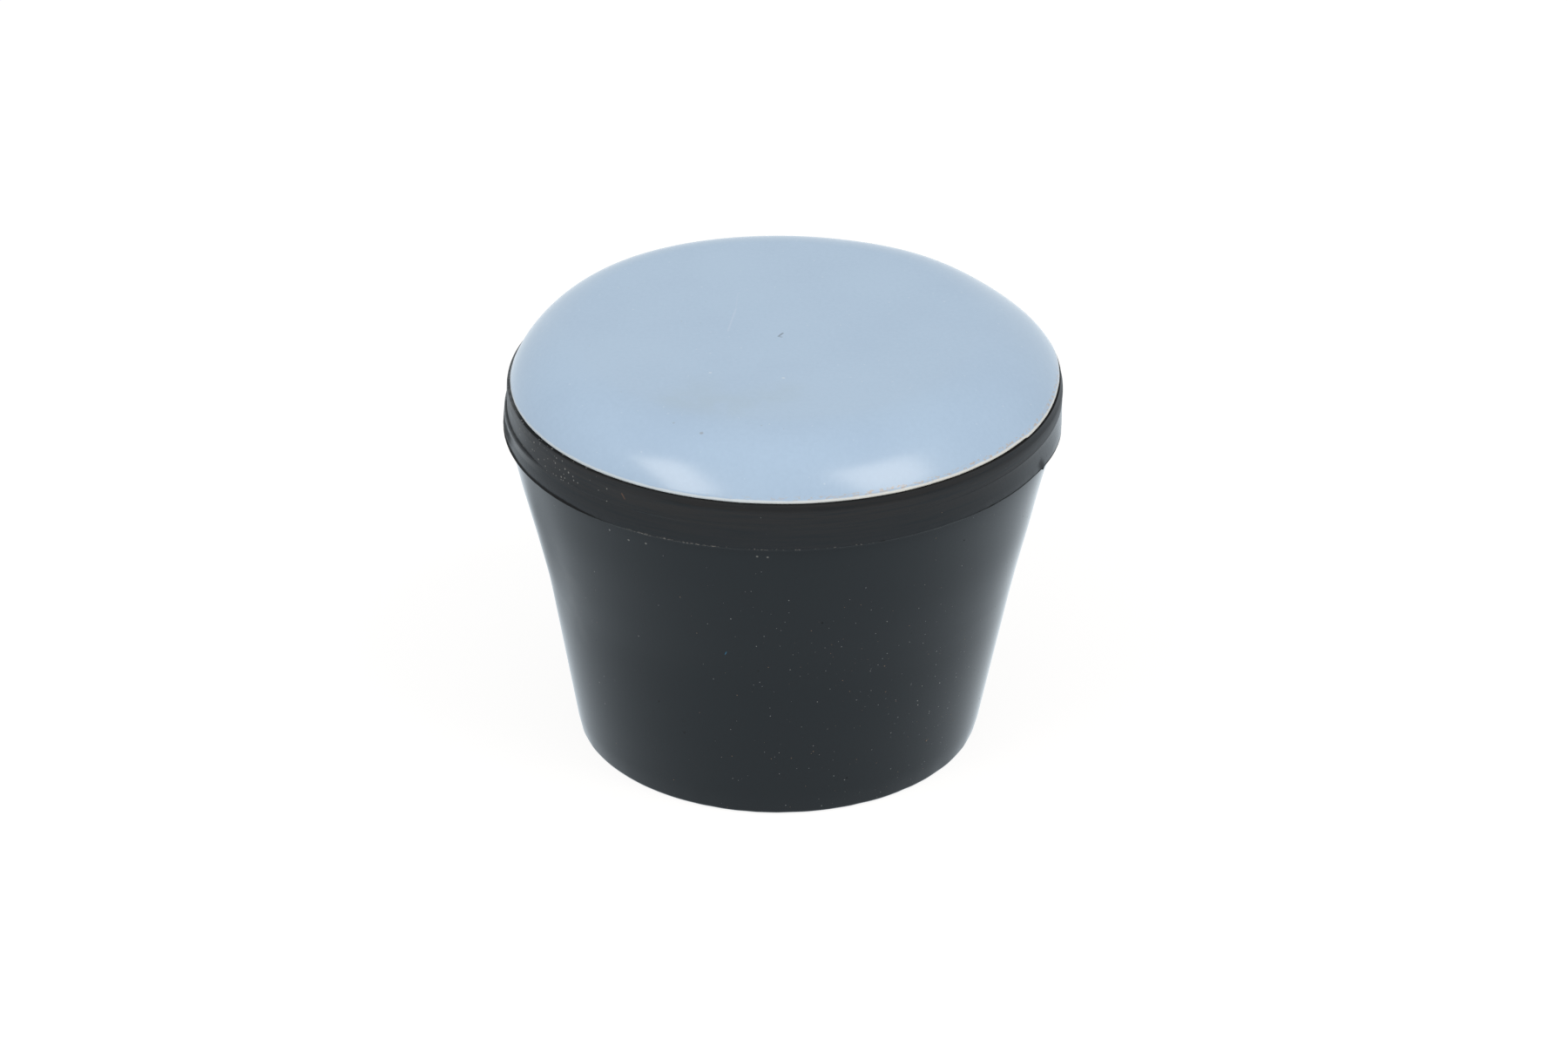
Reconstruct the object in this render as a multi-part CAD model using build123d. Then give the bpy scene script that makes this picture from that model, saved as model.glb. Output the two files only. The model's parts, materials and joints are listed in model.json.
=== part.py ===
"""Slip-on glide for a round chair leg.

A moulded rubber cap grips the end of the tube, and a dished skin of low-friction plastic is
bonded over its crown, so that the chair slides. The glide stands on the mouth of its socket,
with the sliding face up: the origin is the centre of the mouth and +Z points out of the face.
Both pieces are turned forms about Z. Lengths are in millimetres, angles in degrees.
"""
from build123d import *
import math
import os

# The socket that the leg pushes into
leg_diameter = 20.0         # round tube leg
socket_interference = 0.4   # the relaxed rubber bore is this much smaller than the leg
socket_depth = 20.0         # mouth to blind floor
lead_in = 0.8               # 45 degree chamfer at the mouth

# The tapered body of the cap
mouth_wall = 3.3            # rubber round the bore at the mouth
mouth_edge_radius = 0.5     # rounded outer edge of the mouth
waist_height = 11.5         # here the slim lower taper opens into the wider upper one
lower_taper = 10.4          # draft of the lower body, each side
upper_taper = 13.2          # draft of the upper body, each side
body_height = 22.0          # mouth to the underside of the flange

# The flange under the sliding face, moulded half in each side of the tool
flange_overhang = 0.4       # stands out past the body, where the flash is trimmed
lower_flange_height = 1.5   # below the parting line
upper_flange_height = 1.6   # above the parting line
parting_step = 0.18         # the upper half is this much smaller in radius
rim_width = 0.32            # rubber left bare round the edge of the face

# The sliding face: a formed skin over the bevelled crown of the cap
face_thickness = 1.0        # skin over the flat of the crown
face_edge_width = 0.97      # trimmed edge of the skin, where it stands on the flange
face_edge_land = 0.15       # upright part of that trimmed edge
dome_height = 3.0           # top of the land to the flat of the face
shoulder_radius = 5.6       # rolled edge of the face
crown_bevel = 40.0          # slope of the crown's side under the shoulder

# Derived radii and heights
socket_radius = (leg_diameter - socket_interference) / 2
mouth_radius = socket_radius + mouth_wall
waist_radius = mouth_radius + waist_height * math.tan(math.radians(lower_taper))
upper_body_height = body_height - waist_height
body_top_radius = waist_radius + upper_body_height * math.tan(math.radians(upper_taper))
lower_flange_radius = body_top_radius + flange_overhang
upper_flange_radius = lower_flange_radius - parting_step
parting_height = body_height + lower_flange_height
seat_height = parting_height + upper_flange_height
face_radius = upper_flange_radius - rim_width
face_top = seat_height + face_edge_land + dome_height
crown_height = face_top - seat_height - face_thickness
crown_foot_radius = face_radius - face_edge_width
crown_top_radius = crown_foot_radius - crown_height / math.tan(math.radians(crown_bevel))


def make_crown():
    """Bevelled plug of rubber that fills the hollow of the face, from the seat up."""
    return Pos(0, 0, seat_height + crown_height / 2) * Cone(
        crown_foot_radius, crown_top_radius, crown_height
    )


def make_glide_face():
    """Formed skin: flat middle, rolled shoulder and trimmed edge, hollow over the crown."""
    shoulder_reach = math.sqrt(2 * shoulder_radius * dome_height - dome_height**2)
    edge_top = (face_radius, seat_height + face_edge_land)
    flat_edge = (face_radius - shoulder_reach, face_top)
    with BuildPart() as skin:
        with BuildSketch(Plane.XZ):
            with BuildLine():
                Polyline(flat_edge, (0, face_top), (0, seat_height), (face_radius, seat_height))
                Line((face_radius, seat_height), edge_top)
                RadiusArc(flat_edge, edge_top, shoulder_radius)
            make_face()
        revolve(axis=Axis.Z)
    return skin.part - make_crown()


def make_cap_blank():
    """Outer form of the cap: two tapers that meet at the waist, under a stepped flange."""
    with BuildPart() as blank:
        with BuildSketch(Plane.XZ):
            with BuildLine():
                Polyline(
                    (0, 0),
                    (mouth_radius, 0),
                    (waist_radius, waist_height),
                    (body_top_radius, body_height),
                    (lower_flange_radius, body_height),
                    (lower_flange_radius, parting_height),
                    (upper_flange_radius, parting_height),
                    (upper_flange_radius, seat_height),
                    (0, seat_height),
                    close=True,
                )
            make_face()
        revolve(axis=Axis.Z)
        mouth_edges = blank.edges().group_by(Axis.Z)[0].filter_by(GeomType.CIRCLE)
        fillet(mouth_edges, mouth_edge_radius)
    return blank.part


def make_socket():
    """The space that the leg fills: a round bore with a lead-in and a blind floor."""
    bore = Pos(0, 0, socket_depth / 2) * Cylinder(socket_radius, socket_depth)
    funnel = Pos(0, 0, lead_in / 2) * Cone(socket_radius + lead_in, socket_radius, lead_in)
    return bore + funnel


def make_rubber_cap():
    """Moulded rubber cap: body and flange, the crown on top and the blind socket below."""
    return make_cap_blank() + make_crown() - make_socket()


os.makedirs("parts", exist_ok=True)
export_step(make_rubber_cap(), "parts/rubber_cap.step")
export_step(make_glide_face(), "parts/glide_face.step")
print(f"base diameter {2 * lower_flange_radius:.2f}, face diameter {2 * face_radius:.2f}")
print(f"height {face_top:.2f}, mouth diameter {2 * mouth_radius:.2f}")
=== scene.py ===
# %% [markdown]
# # A slip-on glide for a round chair leg
# A moulded rubber cap grips the end of the leg, and a skin of slippery plastic is bonded over
# its crown, so that the chair slides on the floor. Here it stands on the mouth of its socket
# with the sliding face up. The lesson makes the cap and the skin, their finishes, the studio
# and the camera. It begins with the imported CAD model, which fixes every size: a new piece has
# to lie where the solid that it stands for lies.

# %% Load the frame
import json
import math

import bpy
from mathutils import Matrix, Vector, noise


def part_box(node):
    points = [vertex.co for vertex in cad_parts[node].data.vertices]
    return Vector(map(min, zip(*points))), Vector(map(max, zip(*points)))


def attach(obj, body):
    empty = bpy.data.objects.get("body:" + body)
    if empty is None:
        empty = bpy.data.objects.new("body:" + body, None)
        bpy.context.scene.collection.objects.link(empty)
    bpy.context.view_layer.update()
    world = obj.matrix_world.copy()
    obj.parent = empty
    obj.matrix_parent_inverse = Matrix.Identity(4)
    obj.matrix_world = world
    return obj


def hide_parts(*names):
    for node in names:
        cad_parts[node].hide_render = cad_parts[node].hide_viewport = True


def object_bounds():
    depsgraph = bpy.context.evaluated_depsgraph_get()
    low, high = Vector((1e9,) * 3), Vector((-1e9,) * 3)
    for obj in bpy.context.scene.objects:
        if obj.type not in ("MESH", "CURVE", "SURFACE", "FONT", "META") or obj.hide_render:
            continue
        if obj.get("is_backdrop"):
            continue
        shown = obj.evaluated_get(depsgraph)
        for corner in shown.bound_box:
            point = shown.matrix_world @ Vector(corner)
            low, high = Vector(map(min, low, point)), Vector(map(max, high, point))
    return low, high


MM = 0.001
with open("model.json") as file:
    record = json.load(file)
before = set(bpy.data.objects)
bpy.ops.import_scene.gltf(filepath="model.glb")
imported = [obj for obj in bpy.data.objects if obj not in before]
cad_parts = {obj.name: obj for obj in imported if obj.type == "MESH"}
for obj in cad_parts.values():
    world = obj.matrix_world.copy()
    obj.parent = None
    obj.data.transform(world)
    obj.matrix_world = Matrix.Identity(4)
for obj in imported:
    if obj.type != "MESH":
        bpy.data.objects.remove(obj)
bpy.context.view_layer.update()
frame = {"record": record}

# %% [markdown]
# ## Sizes that come from the frame
# Both pieces are turned forms, so a radius and a height say where each edge is. The widest
# radius, the seat of the skin and its top come from the boxes of the CAD nodes, and the
# socket from the record's mount. The object is small, so sizes are kept in millimetres and
# become metres when something is drawn.

# %% Read the main sizes
cap_low, cap_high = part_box("rubber_cap")
face_low, face_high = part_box("glide_face")
socket = [m for m in frame["record"]["mounts"] if m["name"] == "leg_socket"][0]

flange_radius = cap_high.x / MM - 0.005
seat_height = face_low.z / MM
face_top = face_high.z / MM
face_radius = face_high.x / MM - 0.01
socket_radius = socket["dims"]["r_mm"]
lead_in = socket["pos_m"][2] / MM - socket["dims"]["length_mm"] / 2
socket_depth = lead_in + socket["dims"]["length_mm"]
print("flange radius", round(flange_radius, 2), "seat", round(seat_height, 2))
print("socket radius", round(socket_radius, 2), "depth", round(socket_depth, 2))
print("the mouth stands at", round(cap_low.z / MM, 2))

# %% [markdown]
# ## Drawing a turned form ring by ring
# A round form can be made by spinning a half profile, or by pulling a ring of edges up from a
# disc, as a potter raises a wall. The second way is chosen: the open edge of a disc is
# extruded, resized and moved to each next station of the profile, so the mesh stays in neat
# quads and every ring is known.

# %% Helpers: disc, ring and pole
SEGMENTS = 512


def start_disc(name, radius, height):
    """Adds a level disc and leaves its rim selected in edit mode."""
    bpy.ops.object.select_all(action="DESELECT")
    bpy.ops.mesh.primitive_circle_add(
        vertices=SEGMENTS,
        radius=radius * MM,
        fill_type="TRIFAN",
        location=(0, 0, height * MM),
    )
    piece = bpy.context.object
    piece.name = name
    bpy.ops.object.transform_apply(location=True, rotation=True, scale=True)
    bpy.ops.object.mode_set(mode="EDIT")
    bpy.ops.mesh.select_mode(type="EDGE")
    bpy.ops.mesh.select_all(action="DESELECT")
    bpy.ops.mesh.select_non_manifold()
    return piece


def draw_profile(stations):
    """Extrudes the selected ring through the (radius, height) stations, in mm."""
    radius, height = stations[0]
    for next_radius, next_height in stations[1:]:
        grow = next_radius / radius
        bpy.ops.mesh.extrude_region()
        bpy.ops.transform.resize(value=(grow, grow, 1))
        bpy.ops.transform.translate(value=(0, 0, (next_height - height) * MM))
        radius, height = next_radius, next_height


def close_pole():
    """Merges the last ring into one point and turns all faces outwards."""
    bpy.ops.mesh.select_mode(type="VERT")
    bpy.ops.mesh.merge(type="CENTER")
    bpy.ops.mesh.select_all(action="SELECT")
    bpy.ops.mesh.normals_make_consistent(inside=False)
    bpy.ops.object.mode_set(mode="OBJECT")


# %% [markdown]
# ## Arcs and straight runs
# A profile is a list of stations, each a radius and a height. Most of it is straight or part
# of a circle, so two helpers lay stations along such stretches.

# %% Helpers: arcs and runs
def arc(centre, radius, start, end, steps):
    """Stations along an arc of the profile, with angles in degrees from outwards to up."""
    turns = [math.radians(start + (end - start) * i / steps) for i in range(steps + 1)]
    return [(centre[0] + radius * math.cos(t), centre[1] + radius * math.sin(t)) for t in turns]


def run(start, end, steps):
    """Stations along a straight run, without its first point."""
    shares = [i / steps for i in range(1, steps + 1)]
    return [(start[0] + (end[0] - start[0]) * s, start[1] + (end[1] - start[1]) * s) for s in shares]


# %% [markdown]
# ## The rubber cap: sizes
# The cap is one moulding. Seen from its mouth, the wall flares in two tapers that meet in a
# soft waist, then comes an undercut flange with the mould's parting line round its middle,
# the seat of the skin, and a bevelled crown. Inside is the blind socket for the leg. These
# are the sizes that the boxes don't give.

# %% Sizes of the cap
mouth_radius = 13.17
waist_radius = 15.26
waist_height = 11.6
waist_blend = 1.6
body_top_radius = 17.70
body_height = 22.0
parting_height = 23.6
upper_flange_radius = 17.85
rim_top_radius = face_radius + 0.16
mouth_edge = 0.32
crown_bevel = 40
crown_foot_radius = face_radius - 0.97
crown_height = face_top - seat_height - 1.0
crown_top_radius = crown_foot_radius - crown_height / math.tan(math.radians(crown_bevel))
print("crown from radius", round(crown_foot_radius, 2), "to", round(crown_top_radius, 2))

# %% [markdown]
# ## The rubber cap: bore and mouth
# The profile starts at the socket's floor, runs down the bore and over the lead-in that helps
# the leg in, and turns round the ring that the cap stands on. A plug without a bore would do
# from above, but the cap has to be right from below too.

# %% Profile of the bore and the mouth
bore = [(1.5, socket_depth), (5.0, socket_depth), (8.6, socket_depth)]
bore += arc((socket_radius - 0.5, socket_depth - 0.5), 0.5, 90, 0, 6)
bore += run((socket_radius, socket_depth - 0.5), (socket_radius, lead_in), 14)
bore += run((socket_radius, lead_in), (socket_radius + lead_in, 0.06), 3)
mouth = [(socket_radius + lead_in + 0.08, 0.0), (11.6, 0.0), (mouth_radius - mouth_edge, 0.0)]
mouth += arc((mouth_radius - mouth_edge, mouth_edge), mouth_edge, -82, -8, 8)
print("stations in the bore and the mouth:", len(bore) + len(mouth))

# %% [markdown]
# ## The rubber cap: wall
# A hard corner between the two tapers would catch the light as a line, and the real waist is
# soft. So the corner becomes a short curve that leaves each taper with that taper's slope.

# %% Profile of the wall
lower_slope = (waist_radius - mouth_radius) / waist_height
upper_slope = (body_top_radius - waist_radius) / (body_height - waist_height)
waist_start = (waist_radius - waist_blend * lower_slope, waist_height - waist_blend)
waist_end = (waist_radius + waist_blend * upper_slope, waist_height + waist_blend)
lower_wall = run((mouth_radius + mouth_edge * lower_slope, mouth_edge), waist_start, 14)
waist = []
for i in range(1, 12):
    s = i / 12
    radius = (1 - s) ** 2 * waist_start[0] + 2 * s * (1 - s) * waist_radius + s**2 * waist_end[0]
    waist.append((radius, waist_start[1] + 2 * waist_blend * s))
upper_wall = run(waist_end, (body_top_radius - 0.06, body_height - 0.3), 12)
print("stations in the wall:", len(lower_wall) + len(waist) + len(upper_wall))

# %% [markdown]
# ## The rubber cap: flange, seat and crown
# The flange overhangs the wall with an almost square foot. The upper half of the tool was the
# smaller one, which leaves a step at the parting line. The flange then narrows to a rim just
# outside the skin, and the seat lies a hair low, so the two pieces share no surface.

# %% Profile of the flange, the seat and the crown
def beside(radius, height, *steps):
    """Stations at small steps from a corner of the profile."""
    return [(radius + out, height + up) for out, up in steps]


lower_flange_radius = flange_radius - 0.10
flange_foot = beside(body_top_radius, body_height, (-0.01, -0.05), (0.02, -0.01), (0.08, 0))
flange_foot += beside(lower_flange_radius, body_height, (-0.02, 0), (-0.003, 0.02), (0, 0.06))
lower_flange = run(flange_foot[-1], (lower_flange_radius, parting_height - 0.12), 14)
step_foot = beside(lower_flange_radius, parting_height, (-0.01, -0.08), (-0.04, -0.05), (-0.09, -0.02))
step_top = beside(upper_flange_radius, parting_height, (-0.06, 0), (-0.06, 0.03), (-0.02, 0.06), (0, 0.12))
rim_edge = (rim_top_radius - 0.04, seat_height - 0.07)
upper_flange = run(step_top[-1], (upper_flange_radius, seat_height - 0.5), 8)
upper_flange += run(upper_flange[-1], (rim_top_radius, rim_edge[1]), 4)
rim = arc(rim_edge, 0.04, 15, 90, 4)
seat = [(face_radius - 0.03, seat_height - 0.03), (17.2, seat_height - 0.03)]
seat += beside(crown_foot_radius, seat_height, (0.02, -0.03), (0, 0.02))
crown_top = seat_height + crown_height
crown = run((crown_foot_radius, seat_height), (crown_top_radius, crown_top), 6)
crown += [(10.0, crown_top), (5.0, crown_top), (1.0, crown_top)]
cap_profile = bore + mouth + lower_wall + waist + upper_wall + flange_foot + lower_flange
cap_profile += step_foot + step_top + upper_flange + rim + seat + crown
print("stations in the cap's profile:", len(cap_profile))

# %% [markdown]
# ## The rubber cap: drawing it
# The disc is the middle of the socket's floor. All rings follow from the profile, and the last
# one is merged to close the crown.

# %% Draw the cap
cap = start_disc("rubber_cap_moulding", *cap_profile[0])
draw_profile(cap_profile)
close_pole()
print(cap.name, "has", len(cap.data.polygons), "faces")

# %% [markdown]
# ## The rubber cap: what moulding and trimming did to it
# A real moulding isn't a perfect turning: the tool halves sat a hair apart, the body leans,
# and a knife trimmed the flash. Each of these is a small move of the vertices, found by their
# height and by their angle round the axis, where 0 is the right and -90 the front. Soft steps
# say where a move starts and ends, so that none leaves a crease.

# %% Helpers: soft steps
def between(value, low, high):
    """0 below low, 1 above high, and a smooth rise between them."""
    share = min(max((value - low) / (high - low), 0), 1)
    return share * share * (3 - 2 * share)


def near(value, centre, reach):
    """1 at the centre, falling smoothly to 0 at the reach on either side."""
    return 1 - between(abs(value - centre), 0, reach)


# %% [markdown]
# ## The rubber cap: its lean
# From the flange down, the axis drifts to the left, most of all at the mouth. Turning the
# whole piece would lift one side off the floor, so each ring is moved level instead.

# %% Lean of the body
waist_lean = -0.09
mouth_lean = -0.37
upper_bow = 0.05


def body_shift(height):
    """How far the cap's axis stands off to the side at this height."""
    if height < waist_height:
        return mouth_lean + (waist_lean - mouth_lean) * height / waist_height
    share = min((height - waist_height) / (body_height - waist_height), 1)
    return waist_lean * (1 - share) - upper_bow * near(height, 18.5, 3.4)


print("the mouth is", body_shift(0), "mm to the side, the middle", round(body_shift(14), 2))

# %% [markdown]
# ## The rubber cap: its flange
# The parting line runs a little downhill to the left. It is a step at the far left and
# behind, and closed up in front. Under the flange the trimmed flash left an uneven lip with a
# nub, and under the right front of the skin the seat falls away. The moves are "grow" away
# from the axis, "raised" upwards, and "upper", the share of the upper tool half's offset.

# %% Moves of the flange
parting_tilt = 0.23
seat_gap = 0.07
seat_gap_angle = -24
nub_angle = -23.8


def flange_moves(radius, angle, z, out):
    """How far a vertex grows and is raised, and its share in the upper tool half."""
    outer = between(radius, 16.9, 17.3)
    upper = between(z, parting_height - 0.03, parting_height + 0.01)
    left = between(-out.x, 0.25, 0.85)
    right = between(out.x, 0.30, 0.85)
    climb = min(max((z - body_height) / (parting_height - body_height), 0), 1)
    lower = between(radius, 17.80, 17.86) * (1 - upper) if z > body_height - 0.001 else 0

    closed = between(angle, -158, -143) * (1 - between(angle, 20, 50))
    joint = between(z, body_height + 0.25, seat_height - 0.5)
    smooth = lower_flange_radius + (upper_flange_radius - lower_flange_radius) * joint
    flange = between(z, body_height + 0.05, body_height + 0.1)
    flange *= 1 - between(z, seat_height - 0.52, seat_height - 0.5)
    grow = (smooth - radius) * closed * outer * flange
    upper += (joint - upper) * closed * outer

    grow += left * lower * (0.03 - 0.12 * climb) + right * lower * 0.02
    grow += right * 0.04 * near(z, parting_height + 0.6, 0.9) * outer
    at_rim = between(z, seat_height - 0.5, seat_height - 0.1) * outer
    grow += (0.08 * left + 0.12 * near(angle, 15, 24)) * at_rim
    grow += 0.12 * near(angle, -15, 16) * lower * (1 - climb)

    flash = noise.noise(out * 75) * 0.5 + noise.noise(out * 24 + Vector((5, 1, 2)))
    lip = lower * (1 - between(climb, 0.05, 0.3))
    nub = near(angle, nub_angle, 0.9)
    grow += lip * (0.02 * flash - 0.015 * (1 - left) + 0.05 * nub)
    raised = (0.04 * flash - 0.10 * nub) * lip
    raised += parting_tilt * out.x * outer * near(z, parting_height, 1.3)
    falls = near(angle, seat_gap_angle, 32) * between(z, seat_height - 0.9, seat_height - 0.3)
    raised -= seat_gap * falls * between(radius, 16.7, 17.2)
    return grow, raised, upper


# %% [markdown]
# ## The rubber cap: its foot and wall
# The foot is a little wider right of the front and narrower left of it, and its edge is wavy.
# At the far left the waist is dented, and the wall above it is slightly bumpy.

# %% Moves of the foot and the wall
def wall_moves(radius, angle, z, out, place):
    """How far a vertex of the foot or the wall grows and is raised."""
    at_foot = between(radius, 12.4, 12.8)
    on_wall = between(radius, 14, 14.5)
    grow = (1 - between(z, 0, 5)) * at_foot * (0.06 * near(angle, -50, 45) - 0.05 * near(angle, -125, 40))
    wavy = near(z, 0.2, 0.5) * at_foot
    grow += 0.03 * wavy * noise.noise(out * 12 + Vector((1, 7, 3)))
    dented = near(angle, -176, 7) * near(z, waist_height + 0.2, 0.7)
    grow -= 0.07 * dented * (0.6 + noise.noise(place * 2500)) * on_wall
    bumpy = near(abs(angle), 175, 9) * near(z, 16.5, 5.2) * (1 if angle < 0 else 0.6)
    grow += 0.05 * bumpy * noise.noise(place * 1100) * on_wall
    return grow, 0.04 * wavy * max(noise.noise(out * 9), 0)


# %% [markdown]
# ## The rubber cap: moving the rings
# All moves are added up for each vertex. The upper tool half also carries its offset, and at
# the end the radius is held inside the flange's own, as the piece must fit its CAD box.

# %% Move the rings of the cap
tool_shift = 0.15
tool_shift_back = -0.08

for vertex in cap.data.vertices:
    x, y, z = vertex.co / MM
    radius = math.hypot(x, y)
    angle = math.degrees(math.atan2(y, x))
    out = Vector((x, y, 0)) / max(radius, 0.1)
    grow, raised, upper = flange_moves(radius, angle, z, out)
    wall_grow, wall_raised = wall_moves(radius, angle, z, out, vertex.co)
    x += out.x * (grow + wall_grow) + body_shift(z) + tool_shift * upper
    y += out.y * (grow + wall_grow) + tool_shift_back * upper
    inside = min(1, flange_radius / max(math.hypot(x, y), 0.1))
    vertex.co = Vector((x * inside, y * inside, z + raised + wall_raised)) * MM
print("cap box in mm:", [round(side / MM, 2) for side in cap.dimensions])

# %% [markdown]
# ## The skin of the sliding face
# The skin is cut from sheet and formed hot over the crown: a flat middle, a rolled shoulder
# and a trimmed edge that stands on the flange. It could be a disc with thickness added, but
# its hollow has the bevel of the crown, so the profile goes from the middle of the top down
# the shoulder, under the trimmed edge and back along the crown.

# %% Profile of the skin
edge_land = 0.15
dome_height = face_top - seat_height - edge_land
shoulder_radius = 5.6
shoulder_reach = math.sqrt(2 * shoulder_radius * dome_height - dome_height**2)
flat_radius = face_radius - shoulder_reach
shoulder_centre = (flat_radius, face_top - shoulder_radius)
shoulder_end = math.degrees(math.asin(1 - dome_height / shoulder_radius))

skin_profile = [(radius, face_top) for radius in (0.5, 2.0, 4.0, 6.5, 9.0, 11.5)]
skin_profile += arc(shoulder_centre, shoulder_radius, 90, shoulder_end, 36)
skin_profile += run(skin_profile[-1], (face_radius, seat_height + 0.04), 2)
skin_profile += [
    (face_radius - 0.03, seat_height),
    (17.2, seat_height),
    (crown_foot_radius + 0.03, seat_height + 0.01),
]
inner_foot = (crown_foot_radius + 0.02, seat_height + 0.03)
skin_profile += run(inner_foot, (crown_top_radius + 0.02, crown_top + 0.01), 6)
skin_profile += [(10.0, crown_top + 0.01), (1.0, crown_top + 0.01)]
print("flat to radius", round(flat_radius, 2), "with", len(skin_profile), "stations")

# %% [markdown]
# ## The skin: drawing it
# It is drawn like the cap, as one closed shell, so its edge shows the sheet's thickness.

# %% Draw the skin
skin = start_disc("glide_face_skin", *skin_profile[0])
draw_profile(skin_profile)
close_pole()
print(skin.name, "has", len(skin.data.polygons), "faces")

# %% [markdown]
# ## The skin: an uneven shoulder and a trimmed edge
# Forming draws the sheet unevenly, so the shoulder rolls wider on the right and in front. Each
# vertex of the shoulder is moved to the same share of an arc that fits its own side. The edge
# was trimmed by hand: it wanders a little, and where the cut ended it left a small step.

# %% Give the skin its own shoulder and edge
roll_mean = 5.75
roll_to_right = 1.05
roll_to_front = 0.85
cut_start = -30.8
cut_step = -29

for vertex in skin.data.vertices:
    x, y, z = vertex.co / MM
    radius = math.hypot(x, y)
    turn = math.atan2(y, x)
    angle = math.degrees(turn)
    out = Vector((x, y, 0)) / max(radius, 0.1)
    roll = roll_mean + roll_to_right * math.cos(turn) - roll_to_front * math.sin(turn)
    roll -= 0.5 * near(angle, 130, 40) + 0.55 * near(angle, 52, 28) + 0.3 * near(angle, 20, 18)
    flat = face_radius - math.sqrt(2 * roll * dome_height - dome_height**2)
    depth = math.hypot(radius - shoulder_centre[0], z - shoulder_centre[1])
    if z > face_top - 0.001 and radius <= flat_radius + 0.001:
        radius *= flat / flat_radius
    elif abs(depth - shoulder_radius) < 0.001 and radius > flat_radius:
        tilt = math.acos((z - shoulder_centre[1]) / shoulder_radius)
        tilt *= math.acos(1 - dome_height / roll) / math.radians(90 - shoulder_end)
        radius = flat + roll * math.sin(tilt)
        z = face_top - roll * (1 - math.cos(tilt))
    spread = 0.04 + 0.17 * near(angle, 17, 28) - 0.07 * near(angle, 155, 25)
    radius += spread * between(radius, 15.0, face_radius - 0.1)
    edge = between(radius, 17.3, 17.5) * (1 - between(z, seat_height + 0.2, seat_height + 0.6))
    wander = noise.noise(out * 9) * 0.02 + noise.noise(out * 60) * 0.008
    burr = 0.07 * between(angle, cut_start, cut_start + 0.6) * (1 - between(angle, cut_step, -13))
    radius += (wander + burr) * edge
    x = out.x * radius + tool_shift
    y = out.y * radius + tool_shift_back
    vertex.co = Vector((x, y, z)) * MM
print("skin box in mm:", [round(side / MM, 2) for side in skin.dimensions])

# %% [markdown]
# ## Shading and the frame
# Both pieces are shaded smooth, but creases over 50 degrees stay sharp: the lip, the parting
# step and the cut edge. Then each piece is hung on the body it rides on, and the CAD node
# that it stands for is hidden.

# %% Smooth both pieces and give them to the frame
for piece, node, slot in (
    (cap, "rubber_cap", "rubber"),
    (skin, "glide_face", "sliding_plastic"),
):
    bpy.ops.object.select_all(action="DESELECT")
    piece.select_set(True)
    bpy.context.view_layer.objects.active = piece
    bpy.ops.object.shade_smooth_by_angle(angle=math.radians(50))
    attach(piece, "root")
    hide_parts(node)
    print(piece.name, "stands for", node, "in", slot)

# %% [markdown]
# ## Finishes: arithmetic
# A finish is a small network of nodes, and most of it is arithmetic on a place. All finishes
# here read Object coordinates, turned into millimetres, so a size in a network is a size on
# the object. Short helpers name the steps, and find the network from the sockets they get.

# %% Helpers: nodes and arithmetic
def feed(socket, value):
    """Links another node's output to a socket, or sets the socket's own value."""
    if isinstance(value, bpy.types.NodeSocket):
        socket.id_data.links.new(value, socket)
    elif value is not None:
        socket.default_value = value


def feed_all(node, values):
    """Feeds the named inputs of a node."""
    for label, value in values.items():
        feed(node.inputs[label], value)


def new_node(kind, *values):
    """New node in the network that the first socket among the values belongs to."""
    sockets = [value for value in values if isinstance(value, bpy.types.NodeSocket)]
    return sockets[0].id_data.nodes.new(kind)


def calc(operation, *values, clamp=False):
    """Math node, and its result."""
    made = new_node("ShaderNodeMath", *values)
    made.operation = operation
    made.use_clamp = clamp
    for socket, value in zip(made.inputs, values):
        feed(socket, value)
    return made.outputs[0]


def in_turn(operation, values):
    """One Math node after another over all the values."""
    made = values[0]
    for value in values[1:]:
        made = calc(operation, made, value)
    return made


def times(*values):
    """Product of the values."""
    return in_turn("MULTIPLY", values)


def plus(*values):
    """Sum of the values."""
    return in_turn("ADD", values)


def most(*values):
    """Largest of the values."""
    return in_turn("MAXIMUM", values)


def without(mask):
    """Everywhere but in the mask."""
    return calc("SUBTRACT", 1.0, mask)


def vector_calc(operation, first, second=None, output="Vector"):
    """Vector Math node, and its result."""
    made = new_node("ShaderNodeVectorMath", first)
    made.operation = operation
    feed(made.inputs[0], first)
    feed(made.inputs[1], second)
    return made.outputs[output]


# %% [markdown]
# ## Finishes: ramps, colours and noise
# A zone or a mark fades out instead of ending at a hard line, so most masks are smooth ramps.
# Blends put one colour over another, and noise breaks up what would be too even.

# %% Helpers: ramps, colours and noise
def rise(value, low, high):
    """0 below low, 1 above high, smooth between; with low above high it falls."""
    made = new_node("ShaderNodeMapRange", value)
    made.interpolation_type = "SMOOTHSTEP"
    feed_all(made, {"Value": value, "From Min": low, "From Max": high})
    return made.outputs["Result"]


def window(value, low, low_full, high_full, high):
    """Rises from low to low_full, and falls again from high_full to high."""
    return times(rise(value, low, low_full), rise(value, high, high_full))


def around(value, centre, reach, core):
    """1 within core of the centre, falling to 0 at the reach on either side."""
    distance = calc("ABSOLUTE", calc("SUBTRACT", value, centre))
    return rise(distance, reach, core)


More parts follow.
